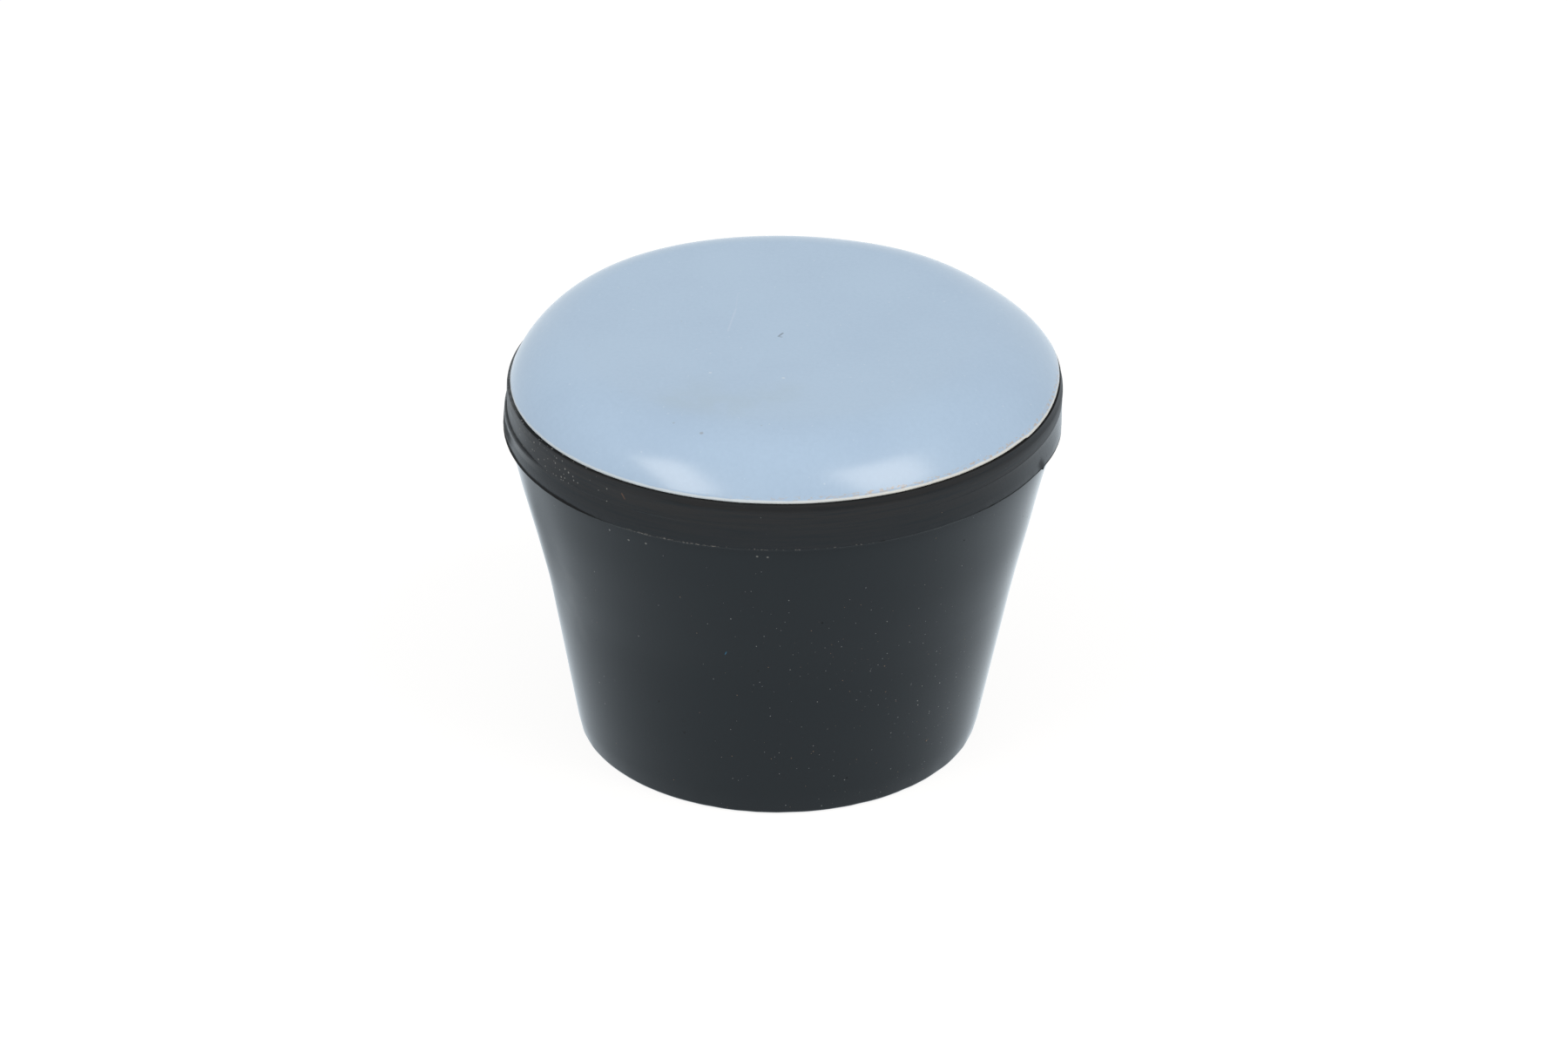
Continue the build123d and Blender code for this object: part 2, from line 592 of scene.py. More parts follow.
def blend(share, first, second):
    """Colour between first and second by share."""
    made = new_node("ShaderNodeMix", share, first, second)
    made.data_type = "RGBA"
    feed(made.inputs["Factor"], share)
    for socket, colour in zip([s for s in made.inputs if s.type == "RGBA"], (first, second)):
        feed(socket, colour)
    return [s for s in made.outputs if s.type == "RGBA"][0]


def rgb(red, green, blue):
    """Opaque colour."""
    return (red, green, blue, 1)


def noise_of(vector, scale, detail=2.0, distortion=0.0):
    """Value of a Noise Texture with this many waves a millimetre."""
    made = new_node("ShaderNodeTexNoise", vector)
    feed_all(made, {"Vector": vector, "Scale": scale, "Detail": detail, "Distortion": distortion})
    return made.outputs["Fac"]


# %% [markdown]
# ## Finishes: groups
# What serves more than one finish is built once, as a group with named inputs, and placed
# wherever it is needed with that finish's own values.

# %% Helpers: groups
def group_of(name, vectors, numbers, outputs):
    """New shader group with named sockets, what it is given, and its end node."""
    group = bpy.data.node_groups.new(name, "ShaderNodeTree")
    for label in vectors:
        group.interface.new_socket(label, in_out="INPUT", socket_type="NodeSocketVector")
    for label, value in numbers.items():
        socket = group.interface.new_socket(label, in_out="INPUT", socket_type="NodeSocketFloat")
        socket.default_value = value
    for label in outputs:
        group.interface.new_socket(label, in_out="OUTPUT", socket_type="NodeSocketFloat")
    start = group.nodes.new("NodeGroupInput")
    end = group.nodes.new("NodeGroupOutput")
    return group, start.outputs, end


def place_group(group, **values):
    """Puts a group in a network with its own values, and returns the node."""
    made = new_node("ShaderNodeGroup", *values.values())
    made.node_tree = group
    feed_all(made, values)
    return made


# %% [markdown]
# ## Shared group: a mark along a line
# Scratches, fibres, nicks and stains are each a soft line at one place, so they share one
# group. It measures the distance to the nearest point of the line, and is 1 within the width.

# %% Group: a mark along a line
mark_group, given, end = group_of(
    "mark_along_line",
    ["Place", "Start", "End"],
    {"Width": 0.1, "Softness": 0.5},
    ["Mask"],
)
line = vector_calc("SUBTRACT", given["End"], given["Start"])
away = vector_calc("SUBTRACT", given["Place"], given["Start"])
along = calc(
    "DIVIDE",
    vector_calc("DOT_PRODUCT", away, line, "Value"),
    vector_calc("DOT_PRODUCT", line, line, "Value"),
    clamp=True,
)
foot_point = vector_calc("MULTIPLY", line, along)
gap = vector_calc("DISTANCE", away, foot_point, "Value")
width = given["Width"]
soft = times(width, given["Softness"])
feed(end.inputs["Mask"], without(rise(gap, calc("SUBTRACT", width, soft), plus(width, soft))))


def mark(place, begin, finish, width, softness=0.5):
    """Mask of one mark from begin to finish."""
    ends = {"Start": begin, "End": finish}
    made = place_group(mark_group, Place=place, Width=width, Softness=softness, **ends)
    return made.outputs["Mask"]


def marks(place, *strokes):
    """Mask of several marks, each with its strength before its ends and width."""
    return most(*[times(mark(place, *stroke), strength) for strength, *stroke in strokes])


print(mark_group.name, "has", len(mark_group.nodes), "nodes")

# %% [markdown]
# ## Shared group: a field of specks
# Dust and flecks lie at random but not evenly. Each cell of a Voronoi texture can hold one
# speck. The share says how many do, and may change over the surface. The cell's own random
# colour makes the specks unequal in size and gives each a tint.

# %% Group: a field of specks
speck_group, given, end = group_of(
    "speck_field",
    ["Place"],
    {"Spacing": 1.0, "Size": 0.1, "Share": 0.5},
    ["Mask", "Tint"],
)
cells = speck_group.nodes.new("ShaderNodeTexVoronoi")
cells.feature = "F1"
closeness = calc("DIVIDE", 1.0, given["Spacing"])
feed_all(cells, {"Vector": given["Place"], "Scale": closeness})
parts = speck_group.nodes.new("ShaderNodeSeparateColor")
feed(parts.inputs["Color"], cells.outputs["Color"])
chosen = calc("LESS_THAN", parts.outputs["Red"], given["Share"])
size = times(given["Size"], plus(times(parts.outputs["Green"], 0.6), 0.4))
size = calc("DIVIDE", size, given["Spacing"])
dot = without(rise(cells.outputs["Distance"], times(size, 0.5), size))
feed_all(end, {"Mask": times(dot, chosen), "Tint": parts.outputs["Blue"]})


def specks(place, spacing, size, share):
    """Mask and tint of a field of specks."""
    made = place_group(speck_group, Place=place, Spacing=spacing, Size=size, Share=share)
    return made.outputs["Mask"], made.outputs["Tint"]


print(speck_group.name, "has", len(speck_group.nodes), "nodes")

# %% [markdown]
# ## Shared group: a grain and a drift
# No moulded surface is even. A fine noise gives its grain, and a slow one lets its colour
# drift. Each finish places the group with its own number of waves a millimetre.

# %% Group: a fine grain over a slow drift
grain_group, given, end = group_of(
    "grain_and_drift",
    ["Place"],
    {"Fine": 5.0, "Slow": 0.2},
    ["Grain", "Drift"],
)
for label, output_name, detail in (("Fine", "Grain", 3.0), ("Slow", "Drift", 2.0)):
    texture = grain_group.nodes.new("ShaderNodeTexNoise")
    inputs = {"Vector": given["Place"], "Scale": given[label], "Detail": detail}
    feed_all(texture, inputs)
    feed(end.inputs[output_name], texture.outputs["Fac"])


def grain_and_drift(place, fine, slow):
    """Values of the grain and of the drift."""
    made = place_group(grain_group, Place=place, Fine=fine, Slow=slow)
    return made.outputs["Grain"], made.outputs["Drift"]


print(grain_group.name, "has", len(grain_group.nodes), "nodes")

# %% [markdown]
# ## How a finish starts and ends
# Every finish begins with a material, its shader and the place on the piece in millimetres,
# and ends by feeding a colour, a gloss and a relief to that shader.

# %% Helpers: start and end of a finish
def place_in_mm(tree):
    """Object coordinates in millimetres."""
    scaled = tree.nodes.new("ShaderNodeMapping")
    place = tree.nodes.new("ShaderNodeTexCoord").outputs["Object"]
    feed_all(scaled, {"Vector": place, "Scale": (1 / MM, 1 / MM, 1 / MM)})
    return scaled.outputs["Vector"]


def axes_of(vector):
    """The X, Y and Z of a vector."""
    parts = new_node("ShaderNodeSeparateXYZ", vector)
    feed(parts.inputs["Vector"], vector)
    return parts.outputs


def start_finish(name):
    """New material, its network and shader, the place in millimetres and its axes."""
    material = bpy.data.materials.new(name)
    material.use_nodes = True
    tree = material.node_tree
    place = place_in_mm(tree)
    return material, tree, tree.nodes["Principled BSDF"], place, axes_of(place)


def turn_of(axes):
    """Angle round the axis in degrees."""
    return times(calc("ARCTAN2", axes["Y"], axes["X"]), 180 / math.pi)


def stretched(place, across, up):
    """The place with the two level axes and the height scaled apart, for streaks."""
    return vector_calc("MULTIPLY", place, (across, across, up))


def layered(colour, coats):
    """Puts coats over a colour, each by its mask times how well it covers."""
    for mask, cover, tint in coats:
        share = mask if cover == 1 else times(mask, cover)
        colour = blend(share, colour, tint)
    return colour


def added(value, *zones):
    """Adds to a value, for each zone, its mask times an amount."""
    for mask, amount in zones:
        value = plus(value, times(mask, amount))
    return value


def end_finish(shader, colour, gloss, relief):
    """Feeds the shader; the relief is in millimetres."""
    bump = new_node("ShaderNodeBump", relief)
    feed_all(bump, {"Distance": MM, "Height": relief})
    feed_all(shader, {"Base Color": colour, "Roughness": gloss, "Normal": bump.outputs["Normal"]})


# %% [markdown]
# ## Moulded rubber: zones
# The cap is black rubber with a cool sheen, and its finish follows how it was made. The body
# came from a polished cavity and is smooth. The upper half of the flange came from the other
# tool half and is grainy and dusty, and the lower half has fine drag lines. Each zone is a
# mask made from the height, the side and the turn, which is the angle round the axis.

# %% Zones of the rubber
rubber, tree, shader, place, axes = start_finish("moulded_rubber")
side = axes["X"]
height = axes["Z"]
turn = turn_of(axes)
seam = plus(times(side, parting_tilt / flange_radius), parting_height)
over_seam = calc("SUBTRACT", height, seam)
over_lip = calc("SUBTRACT", height, body_height)
upper_half = rise(over_seam, -0.07, 0.07)
on_flange = rise(over_lip, -0.02, 0.02)
lower_half = times(on_flange, without(upper_half))
right = rise(side, 5, 15)
grain, drift = grain_and_drift(place, 5, 0.18)
mottle = noise_of(stretched(place, 1, 2.2), 1.3, 3, 0.6)
ragged = noise_of(place, 2.2, 3)
print("zones of the rubber:", len(tree.nodes), "nodes")

# %% [markdown]
# ## Moulded rubber: cut edges and painted shade
# The lip under the flange and the rim under the skin were trimmed with a blade, so they are
# matte. Both are also painted black, as painted shade under the flange's edge and in the gap
# under the skin's edge. The lip's painted shade is widest at the left and hardly there in
# front. The crease at the parting line and a groove at the far left are painted black as
# their shade as well.

# %% Cut edges and painted shade of the rubber
front = window(turn, -134, -124, -56, -42)
lip_width = added(
    0.06,
    (rise(turn, -126, -142), 0.22),
    (rise(turn, -154, -170), 0.2),
    (ragged, 0.12),
)
# Painted shade: the lip's trimmed edge is darkened as the shade under the flange's edge.
lip_cut_and_shade = times(
    rise(over_lip, lip_width, times(lip_width, 0.5)),
    rise(over_lip, -0.05, 0),
    without(times(front, 0.9)),
)
# Painted shade: the rim's top is darkened as the shade in the gap under the skin's edge, reaching lower
# where the seat falls away.
falls = around(turn, seat_gap_angle, 32, 0)
rim_low = calc("SUBTRACT", seat_height - 0.06, times(falls, seat_gap))
rim_cut_and_shade = rise(height, rim_low, plus(rim_low, 0.05))
rim_cut_and_shade = times(rim_cut_and_shade, window(turn, -172, -155, -8, 10))
# Painted shade: a groove at the far left and the crease at the parting line are darkened as their shade.
groove_shade = times(around(over_lip, 0.75, 0.45, 0.15), rise(turn, -162, -168))
crease_shade = times(around(over_seam, 0, 0.06, 0.02), rise(turn, -141, -150))
cut_and_shade = most(lip_cut_and_shade, rim_cut_and_shade, times(groove_shade, 0.7), times(crease_shade, 0.4))
print("with cut edges:", len(tree.nodes), "nodes")

# %% [markdown]
# ## Moulded rubber: dust
# Pale dust sits low on the right of the front, in a band that slants down to the right, and
# is heaviest near the end of it. The upper half of the flange holds dust at its left. Fine
# and coarse specks are separate fields, and a few of the fine ones are brown.

# %% Dust on the rubber
low = rise(height, 21, 10)
wide = window(turn, -118, -88, -40, -12)
slant = plus(height, times(plus(turn, 78), 0.225))
swept = around(slant, 12.6, 3.4, 0.4)
dusty = plus(times(low, wide, 0.4), times(swept, wide, 0.45))
heavy = times(around(turn, -47, 15, 6), around(height, 7.8, 3.6, 1.4))
fine_share = plus(times(dusty, 1.45), 0.07)
fine_dust, fine_tint = specks(place, 0.34, 0.052, fine_share)
coarse_share = plus(times(dusty, 0.35), 0.035, times(heavy, 0.3))
coarse_dust, coarse_tint = specks(place, 0.9, 0.098, coarse_share)
flange_share = times(upper_half, rise(turn, -122, -142), 0.75)
flange_dust = specks(place, 0.28, 0.085, flange_share)[0]
dust = most(fine_dust, coarse_dust)
brown = calc("GREATER_THAN", fine_tint, 0.72)
dust_tint = blend(coarse_tint, rgb(0.24, 0.27, 0.30), rgb(0.50, 0.52, 0.53))
dust_tint = blend(brown, dust_tint, rgb(0.30, 0.21, 0.15))
print("with dust:", len(tree.nodes), "nodes")

# %% [markdown]
# ## Moulded rubber: smudge, pits and torn flash
# A hand left a dull smudge on the left of the body, and air in the tool left small black pits
# right of the front. Under the flange the flash tore in places instead of being cut, which
# left a broken pale line on the left of the front and some pale spots after it.

# %% Smudge, pits and torn flash
smudge = times(
    around(turn, -155, 16, 3),
    around(height, 13.5, 6, 1),
    rise(noise_of(place, 0.45, 5, 0.4), 0.36, 0.66),
)
pitted = times(rise(turn, -70, -45), rise(height, 10, 17))
pits = specks(place, 0.8, 0.10, plus(times(pitted, 0.25), 0.04))[0]
pits = times(pits, without(on_flange))
torn_noise = noise_of(place, 6, 3)
torn = window(turn, -126, -117, -109, -102)
torn = times(torn, rise(torn_noise, 0.44, 0.58))
spotted = window(turn, -112, -102, -74, -66)
spotted = times(spotted, rise(torn_noise, 0.58, 0.66))
torn_line = plus(over_lip, times(calc("SUBTRACT", ragged, 0.5), 0.25))
torn = times(plus(torn, spotted), around(torn_line, 0, 0.12, 0.05))
print("with smudge, pits and torn flash:", len(tree.nodes), "nodes")

# %% [markdown]
# ## Moulded rubber: single marks
# Some marks are there only once: a scuff at the waist, a blue and a rust-coloured fibre, a
# pale streak, the nub of the flash with its black smudge, a nick, and four pale specks under
# the flange. Noise can't put them in their places, so each is laid with the shared group.

# %% Single marks on the rubber
scuff = mark(place, (-15.3, -1.4, 12.9), (-15.15, -1.4, 11.3), 0.35)
blue_fibre = mark(place, (-3.75, -15.2, 12.9), (-3.45, -15.25, 13.6), 0.035)
rust_fibre = mark(place, (-9.95, -14.8, 24.35), (-9.75, -14.9, 24.05), 0.05)
pale_streak = mark(place, (-13.8, -11.5, 23.45), (-13.6, -11.8, 23.62), 0.05)
nub_spot = mark(place, (16.55, -6.9, 22), (16.3, -7.3, 22.35), 0.10)
nub_smudge = mark(place, (16.4, -7.3, 22.1), (16.2, -7.6, 22.5), 0.35, 0.9)
foot_nick = mark(place, (5.90, -16.97, 21.98), (6.25, -16.85, 22.03), 0.08)
lip_specks = marks(
    place,
    (1, (-9.63, -14.62, 20.97), (-9.60, -14.64, 20.98), 0.06),
    (1, (-8.53, -15.30, 21.10), (-8.51, -15.30, 21.10), 0.06),
    (1, (-1.61, -17.50, 21.34), (-1.59, -17.50, 21.34), 0.06),
    (1, (-0.96, -17.54, 21.30), (-0.94, -17.54, 21.30), 0.06),
)
print("with single marks:", len(tree.nodes), "nodes")

# %% [markdown]
# ## Moulded rubber: colour
# The rubber is nearly black and slightly blue. Over it come a dry film on the flange, a grey
# bloom that is also a painted sheen at its far left and right, a painted highlight on a ridge
# below the parting line at the far left, the painted shade of the cut edges, and then the marks
# and the dust. They are laid as coats: each covers what is under it by its mask, times how
# well it covers.

# %% Colour of the rubber
film = times(on_flange, rise(noise_of(stretched(place, 0.22, 6), 1, 3), 0.2, 0.7))
high_film = times(rise(height, body_height, seat_height - 0.2), film)
far_sides = rise(calc("ABSOLUTE", turn), 152, 174)
# Painted sheen as well as bloom: the flange is painted paler, in mottled patches, towards its far left and
# right.
bloom_and_sheen = times(far_sides, on_flange, rise(mottle, 0.36, 0.64))
# Painted highlight: a pale strip just below the parting line at the far left, where the edge of the lower
# flange catches the light.
ridge_highlight = times(around(over_seam, -0.3, 0.32, 0.1), rise(turn, -147, -160))
rubber_coats = (
    (film, 1, rgb(0.0140, 0.0160, 0.0185)),
    (high_film, 1, rgb(0.0195, 0.0190, 0.0195)),
    # bloom with painted sheen at the far sides
    (bloom_and_sheen, 1, rgb(0.095, 0.102, 0.106)),
    # painted highlight on the ridge
    (ridge_highlight, 1, rgb(0.075, 0.082, 0.088)),
    (smudge, 0.3, rgb(0.085, 0.092, 0.094)),
    # painted shade of the cut edges, the groove and the crease
    (cut_and_shade, 1, rgb(0.0045, 0.0045, 0.0045)),
    (nub_smudge, 0.6, rgb(0.006, 0.006, 0.006)),
    (torn, 0.6, rgb(0.19, 0.18, 0.17)),
    (dust, plus(times(heavy, 0.3), 0.5), dust_tint),
    (flange_dust, 0.8, rgb(0.26, 0.27, 0.27)),
    (lip_specks, 0.45, rgb(0.36, 0.37, 0.36)),
    (pits, 1, rgb(0.002, 0.002, 0.002)),
    (blue_fibre, 1, rgb(0.02, 0.11, 0.20)),
    (rust_fibre, 0.5, rgb(0.15, 0.08, 0.05)),
    (pale_streak, 0.7, rgb(0.25, 0.26, 0.26)),
    (most(nub_spot, foot_nick), 1, rgb(0.002, 0.002, 0.002)),
)
colour = blend(drift, rgb(0.0087, 0.0125, 0.0158), rgb(0.0102, 0.0140, 0.0173))
colour = layered(colour, rubber_coats)
print("coats on the rubber:", len(rubber_coats))

# %% [markdown]
# ## Moulded rubber: gloss and relief
# The gloss starts from the polished body, and each zone makes it duller or shinier. Cuts, dust
# and scuffs scatter the light, so they are matte. The relief is what is too fine to be drawn:
# grain, drag lines that climb round the flange, torn cuts and standing dust.

# %% Gloss and relief of the rubber
sided = calc("SUBTRACT", times(upper_half, 0.17), 0.07)
scuffed = window(turn, -163, -150, -136, -122)
gloss = added(
    0.085,
    (on_flange, 0.16),
    (upper_half, 0.1),
    (times(sided, right, on_flange), 1),
    (times(scuffed, upper_half), 0.15),
    (bloom_and_sheen, 0.2),
    (times(rise(turn, 140, 152), on_flange), -0.2),
    (grain, 0.03),
)
matte = most(cut_and_shade, dust, pits, flange_dust, times(scuff, ragged), times(nub_smudge, 0.6))
gloss = calc("ADD", gloss, times(matte, 0.6), clamp=True)
shader.inputs["Specular IOR Level"].default_value = 0.22

drag_place = tree.nodes.new("ShaderNodeCombineXYZ")
drag_turn = plus(times(turn, 0.9), times(height, 1.6))
feed_all(drag_place, {"X": drag_turn, "Y": times(height, 0.4)})
drag_lines = noise_of(drag_place.outputs["Vector"], 1.4, 2)
relief = added(
    0,
    (grain, 0.0008),
    (times(mottle, upper_half), 0.012),
    (times(drag_lines, lower_half), 0.006),
    (times(ragged, cut_and_shade), 0.03),
    (dust, 0.01),
)
end_finish(shader, colour, gloss, relief)
cap.data.materials.append(rubber)
print("rubber network:", len(tree.nodes), "nodes")

# %% [markdown]
# ## Sliding plastic: edge and glue
# The skin is a waxy, pale blue-grey plastic. Its cut edge is paler than its face: partly the
# trimmed sheet's own paleness, partly a painted highlight where the edge catches the light,
# most of all on the right of the front, where some tan bonding glue was also smeared up over
# the edge.

# %% Zones of the skin
plastic, tree, shader, place, axes = start_finish("sliding_plastic")
height = axes["Z"]
turn = turn_of(axes)
grain, drift = grain_and_drift(place, 3.5, 0.12)
wander = times(noise_of(place, 1.2, 3), 0.08)
over_edge = calc("SUBTRACT", calc("SUBTRACT", height, seat_height), wander)
# The trimmed edge, painted pale: partly its own paleness, partly a painted highlight.
cut_edge_and_highlight = rise(over_edge, 0.22, 0.11)
right_front = window(turn, -112, -60, -12, 12)
smear = times(
    rise(noise_of(stretched(place, 1, 2.5), 3.6, 4), 0.50, 0.64),
    around(over_edge, 0.27, 0.15, 0.05),
    plus(times(right_front, 0.7), 0.05),
)
print("zones of the skin:", len(tree.nodes), "nodes")

# %% [markdown]
# ## Sliding plastic: single marks
# The flat has one black nick, a fine scratch, a dull stain with two arms and a few dots. Each
# arm or end of a mark has its own strength. White and brown specks lie in the plastic all over.

# %% Single marks on the skin
nick = marks(
    place,
    (1, (-0.20, -0.88, face_top), (0.06, -0.46, face_top), 0.055, 0.8),
    (0.5, (-0.20, -0.90, face_top), (-0.04, -1.00, face_top), 0.08, 0.9),
)
scratch = marks(
    place,
    (1, (-2.95, 3.1, face_top), (-3.45, -0.1, face_top), 0.05, 0.9),
    (0.4, (-2.85, 5.3, face_top), (-2.95, 3.2, face_top), 0.04, 0.9),
)
stain = marks(
    place,
    (1, (-6.4, -9.6, face_top), (-3.2, -10.3, face_top), 1.3, 0.9),
    (0.8, (-3.2, -10.3, face_top), (0.2, -8.9, face_top), 1.3, 0.9),
    (0.7, (-5.2, -8, face_top), (-4.6, -9.6, face_top), 1.2, 0.9),
)
stain = times(stain, rise(noise_of(place, 0.5, 3), 0.22, 0.6))
dark_dots = marks(
    place,
    (1, (-5.01, -13.50, 27.85), (-4.97, -13.50, 27.85), 0.10),
    (0.6, (-6.74, -12.35, 27.98), (-6.71, -12.35, 27.98), 0.07),
)
pale_dots = marks(
    place,
    (1, (0.07, -6.78, face_top), (0.10, -6.78, face_top), 0.09),
    (1, (-4.54, -5.99, face_top), (-4.51, -5.99, face_top), 0.08),
)
white_specks = specks(place, 0.8, 0.09, 0.8)[0]
brown_specks = specks(place, 1.8, 0.10, 0.5)[0]
print("with single marks:", len(tree.nodes), "nodes")

# %% [markdown]
# ## Sliding plastic: colour, gloss and relief
# The marks are coats again. The last one is a painted reflection: the skin is painted paler
# where it is seen at a grazing angle, standing for the bright room that it mirrors there, and
# Layer Weight gives that angle.

# %% Colour, gloss and relief of the skin
layer = tree.nodes.new("ShaderNodeLayerWeight")
layer.inputs["Blend"].default_value = 0.5
# Painted reflection: paler towards grazing angles, for the bright walls and floor mirrored there.
grazing_reflection = calc("POWER", layer.outputs["Facing"], 7.8)
# The edge is painted palest on the right of the front, partly as a painted highlight where the light
# catches it.
edge_tint = blend(right_front, rgb(0.60, 0.68, 0.74), rgb(0.72, 0.74, 0.72))
skin_coats = (
    (stain, 0.35, rgb(0.365, 0.47, 0.56)),
    (scratch, 0.14, rgb(0.75, 0.78, 0.9)),
    (white_specks, 0.22, rgb(0.80, 0.84, 0.88)),
    (brown_specks, 0.22, rgb(0.30, 0.25, 0.20)),
    (pale_dots, 0.35, rgb(0.8, 0.84, 0.86)),
    (dark_dots, 0.4, rgb(0.22, 0.17, 0.14)),
    # the cut edge, partly a painted highlight
    (cut_edge_and_highlight, 1, edge_tint),
    (smear, 1, rgb(0.50, 0.39, 0.29)),
    (nick, 0.75, rgb(0.12, 0.14, 0.17)),
    # painted reflection at grazing angles
    (grazing_reflection, 1, rgb(0.85, 0.92, 0.98)),
)
tone = rise(plus(drift, times(grain, 0.6)), 0.5, 1.1)
colour = blend(tone, rgb(0.376, 0.508, 0.682), rgb(0.402, 0.541, 0.716))
colour = layered(colour, skin_coats)
gloss = added(0.205, (grain, 0.03), (cut_edge_and_highlight, 0.3))
gloss = calc("ADD", gloss, times(stain, 0.04), clamp=True)
relief = added(0, (grain, 0.0006), (nick, -0.02))
end_finish(shader, colour, gloss, relief)
skin.data.materials.append(plastic)
print("skin network:", len(tree.nodes), "nodes, with", len(skin_coats), "coats")

# %% [markdown]
# ## Studio: who sees what
# A glossy black thing shows its surroundings: here a white paper floor, white walls at the
# back and sides, and an open, dimmer room in front. The camera has to see plain white, but
# the rubber and the skin see it a little cool. So floor and world ask what kind of ray
# arrives, and answer camera, mirror and other rays in their own way.

# %% Helpers: kinds of rays
COOL = rgb(0.875, 0.975, 1.06)
WHITE = rgb(1, 1, 1)
BLACK = rgb(0, 0, 0)


def looks(tree):
    """1 for camera, glossy and transmission rays, and the camera share by itself."""
    path = tree.nodes.new("ShaderNodeLightPath")
    seen = plus(path.outputs["Is Camera Ray"], path.outputs["Is Glossy Ray"])
    seen = calc("ADD", seen, path.outputs["Is Transmission Ray"], clamp=True)
    return seen, path.outputs["Is Camera Ray"]


def mix_shaders(share, first, second):
    """Shader between first and second by share."""
    made = new_node("ShaderNodeMixShader", share)
    for socket, value in zip(made.inputs, (share, first, second)):
        feed(socket, value)
    return made.outputs[0]


# %% [markdown]
# ## Studio: floor
# The floor lies a hair below the mouth ring, so that the two never share a plane.

# %% Floor
FLOOR_SIDE = 6.0
FLOOR_DROP = 0.02

bpy.ops.object.select_all(action="DESELECT")
bpy.ops.mesh.primitive_plane_add(size=FLOOR_SIDE, location=(0, 0, -FLOOR_DROP * MM))
floor = bpy.context.object
floor.name = "floor"
bpy.ops.object.transform_apply(location=True, rotation=True, scale=True)
floor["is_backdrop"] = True
print("the floor lies at", round(floor.bound_box[0][2] / MM, 3), "mm")

# %% [markdown]
# ## Studio: paper
# The paper adds a glow to a shaded white, so it stays white and keeps a soft shadow. Mirror
# rays find a painted shadow behind the object on the left and a painted pool of light on the
# right, which shape the edges of the rubber. From below it is clear and hides nothing.

# %% Paper
paper = bpy.data.materials.new("studio_paper")
paper.use_nodes = True
tree = paper.node_tree
tree.nodes.clear()
seen, by_camera = looks(tree)
place = place_in_mm(tree)
# A painted shadow and a painted pool of light on the paper, seen by mirror rays but not by the camera.
painted_shadow_patch = mark(place, (-25.5, 15.5, 0), (-26.5, 17.5, 0), 6, 0.9)
painted_light_patch = mark(place, (15, 3, 0), (26, 26, 0), 6, 0.9)
patches = ((painted_shadow_patch, 0.42, BLACK), (painted_light_patch, 0.7, rgb(1.05, 1.16, 1.24)))
tone = blend(by_camera, layered(COOL, patches), WHITE)
plain = tree.nodes.new("ShaderNodeBsdfDiffuse")
plain.inputs["Color"].default_value = rgb(0.8, 0.8, 0.8)
shaded = tree.nodes.new("ShaderNodeBsdfDiffuse")
feed(shaded.inputs["Color"], blend(0.78, tone, BLACK))
glow = tree.nodes.new("ShaderNodeEmission")
glow.inputs["Strength"].default_value = 0.86
feed(glow.inputs["Color"], tone)
lifted = tree.nodes.new("ShaderNodeAddShader")
tree.links.new(shaded.outputs[0], lifted.inputs[0])
tree.links.new(glow.outputs[0], lifted.inputs[1])
from_below = tree.nodes.new("ShaderNodeNewGeometry").outputs["Backfacing"]
clear = tree.nodes.new("ShaderNodeBsdfTransparent")
surface = mix_shaders(seen, plain.outputs[0], lifted.outputs[0])
surface = mix_shaders(from_below, surface, clear.outputs[0])
paper_output = tree.nodes.new("ShaderNodeOutputMaterial")
tree.links.new(surface, paper_output.inputs["Surface"])
floor.data.materials.append(paper)
print("paper network:", len(tree.nodes), "nodes")

# %% [markdown]
# ## Studio: walls and front
# The world stands for the walls. A mirror finds them white at the back and sides and dim in
# front. Other rays find a soft fill that is a little stronger from the front.

# %% White walls and a dim front
world = bpy.data.worlds.new("white_room")
bpy.context.scene.world = world
world.use_nodes = True
tree = world.node_tree
tree.nodes.clear()
seen, by_camera = looks(tree)
direction = tree.nodes.new("ShaderNodeTexCoord").outputs["Generated"]
backwards = axes_of(direction)["Y"]
walls = plus(times(rise(backwards, -0.55, 0.15), 0.72), 0.28)
fill = tree.nodes.new("ShaderNodeBackground")
fill.inputs["Color"].default_value = WHITE
feed(fill.inputs["Strength"], plus(times(backwards, -0.28), 0.522))
shown = tree.nodes.new("ShaderNodeBackground")
feed_all(shown, {"Color": blend(by_camera, COOL, WHITE), "Strength": most(walls, by_camera)})
surface = mix_shaders(seen, fill.outputs[0], shown.outputs[0])
world_output = tree.nodes.new("ShaderNodeOutputWorld")
tree.links.new(surface, world_output.inputs["Surface"])
print("world network:", len(tree.nodes), "nodes")

# %% [markdown]
# ## Studio: softboxes
# Two softboxes in front give the skin its two glows and the rubber its highlights. They are
# area lights, because a glossy surface shows a light's shape. Each is placed by its angle
# from the front and turned to face the middle of the object.

# %% Softboxes
BOX_DISTANCE = 0.5
BOX_COLOUR = (1, 0.92, 0.82)
middle = Vector((0, 0, face_top * MM / 2))


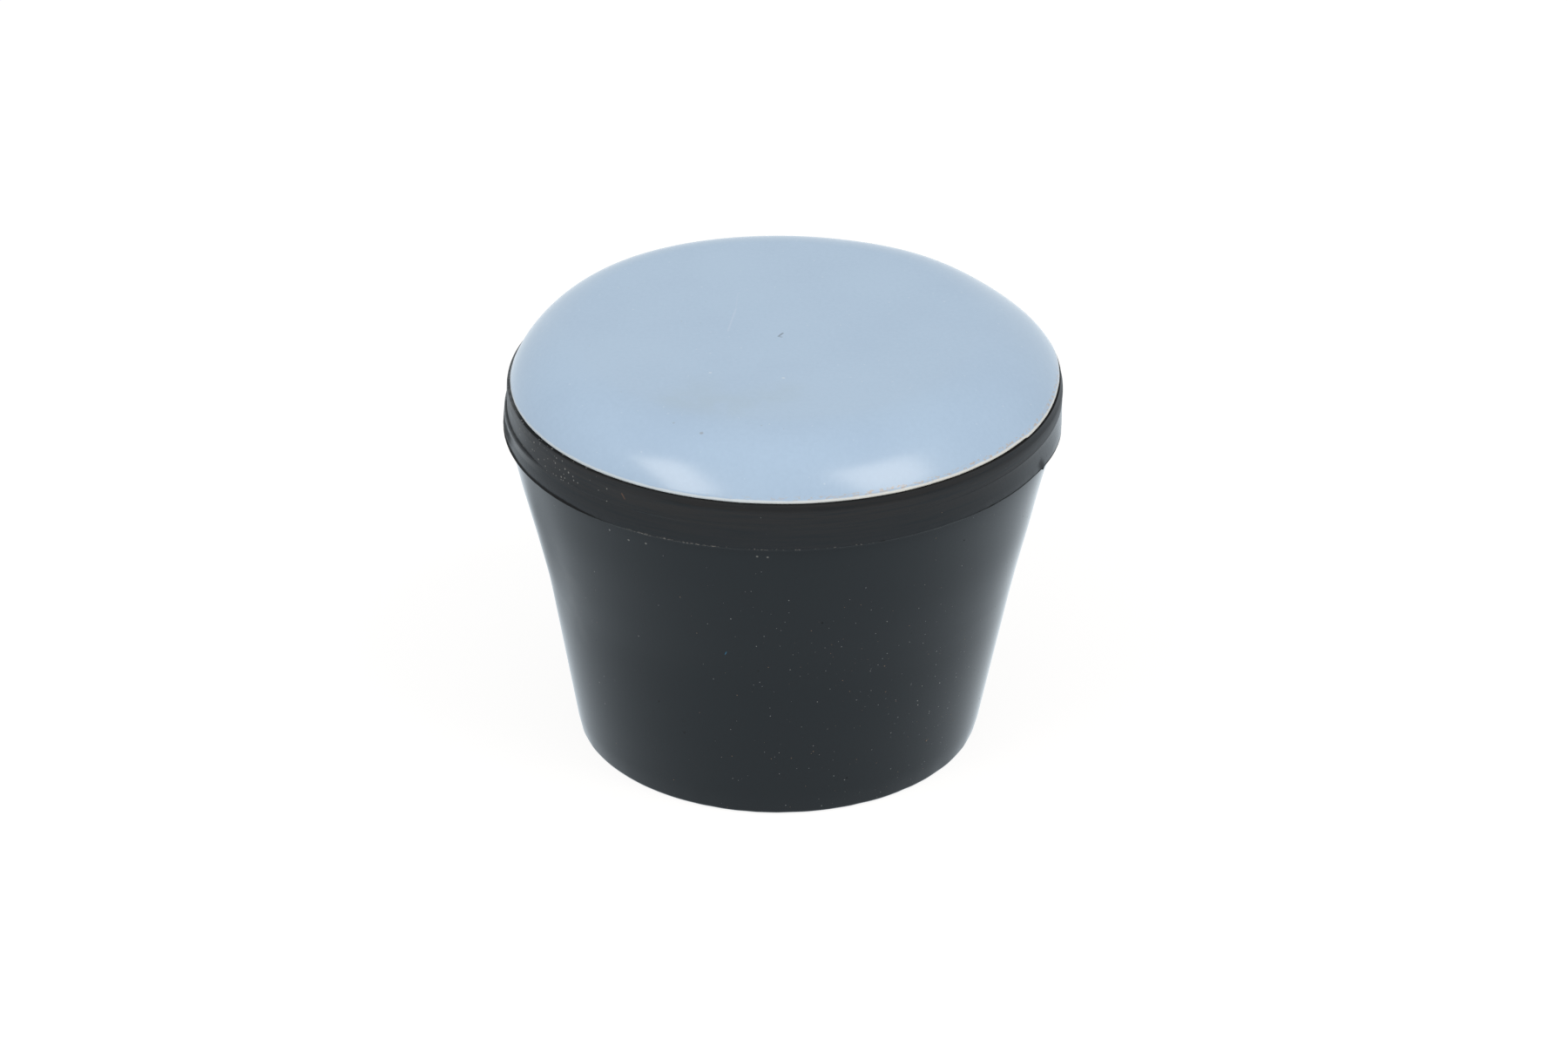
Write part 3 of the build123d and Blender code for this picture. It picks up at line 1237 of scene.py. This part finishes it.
def add_softbox(name, azimuth, elevation, width, height, roll, radiance):
    """Area light that faces the object, from azimuth degrees right of the front."""
    turn, lift = math.radians(azimuth), math.radians(elevation)
    level = BOX_DISTANCE * math.cos(lift)
    place = (level * math.sin(turn), -level * math.cos(turn), BOX_DISTANCE * math.sin(lift))
    bpy.ops.object.light_add(type="AREA", location=place)
    lamp = bpy.context.object
    lamp.name = name
    lamp.data.shape = "RECTANGLE"
    lamp.data.size = width
    lamp.data.size_y = height
    lamp.data.energy = radiance * math.pi * width * height
    lamp.data.color = BOX_COLOUR
    lamp.rotation_euler = (middle - lamp.location).to_track_quat("-Z", "Y").to_euler()
    lamp.rotation_euler.rotate_axis("Z", math.radians(roll))
    print(name, "gives", round(lamp.data.energy, 3), "W")


add_softbox("softbox_left", -51.2, 46.5, width=0.155, height=0.29, roll=50, radiance=4.8)
add_softbox("softbox_right", 54.5, 52, width=0.225, height=0.25, roll=-12, radiance=4.5)

# %% [markdown]
# ## Camera
# A long lens from a little above keeps the perspective of a small object gentle. The camera
# looks at a point half way up, and is rolled by a third of a degree.

# %% Camera
camera_elevation = 28.5
camera_distance = 0.343
lens_length = 120.7
sensor_width = 36
aim = Vector((0.07, 0, 14.23)) * MM
camera_roll = -0.0055

lift = math.radians(camera_elevation)
back = Vector((0, -math.cos(lift), math.sin(lift)))
bpy.ops.object.camera_add(location=aim + back * camera_distance)
camera = bpy.context.object
camera.name = "camera"
camera.data.lens = lens_length
camera.data.sensor_width = sensor_width
camera.data.clip_start = 0.01
camera.rotation_euler = (-back).to_track_quat("-Z", "Y").to_euler()
camera.rotation_euler.rotate_axis("Z", camera_roll)
bpy.context.scene.camera = camera
print("camera at", [round(value, 3) for value in camera.location])

# %% [markdown]
# ## Measure and finish
# The visual model has to lie inside the CAD's box, so the box of what is drawn is printed.

# %% Measure and finish
bpy.context.scene.view_settings.view_transform = "Standard"
bpy.context.view_layer.update()
low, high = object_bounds()
print("visual box in mm:", [round(side / MM, 2) for side in high - low])
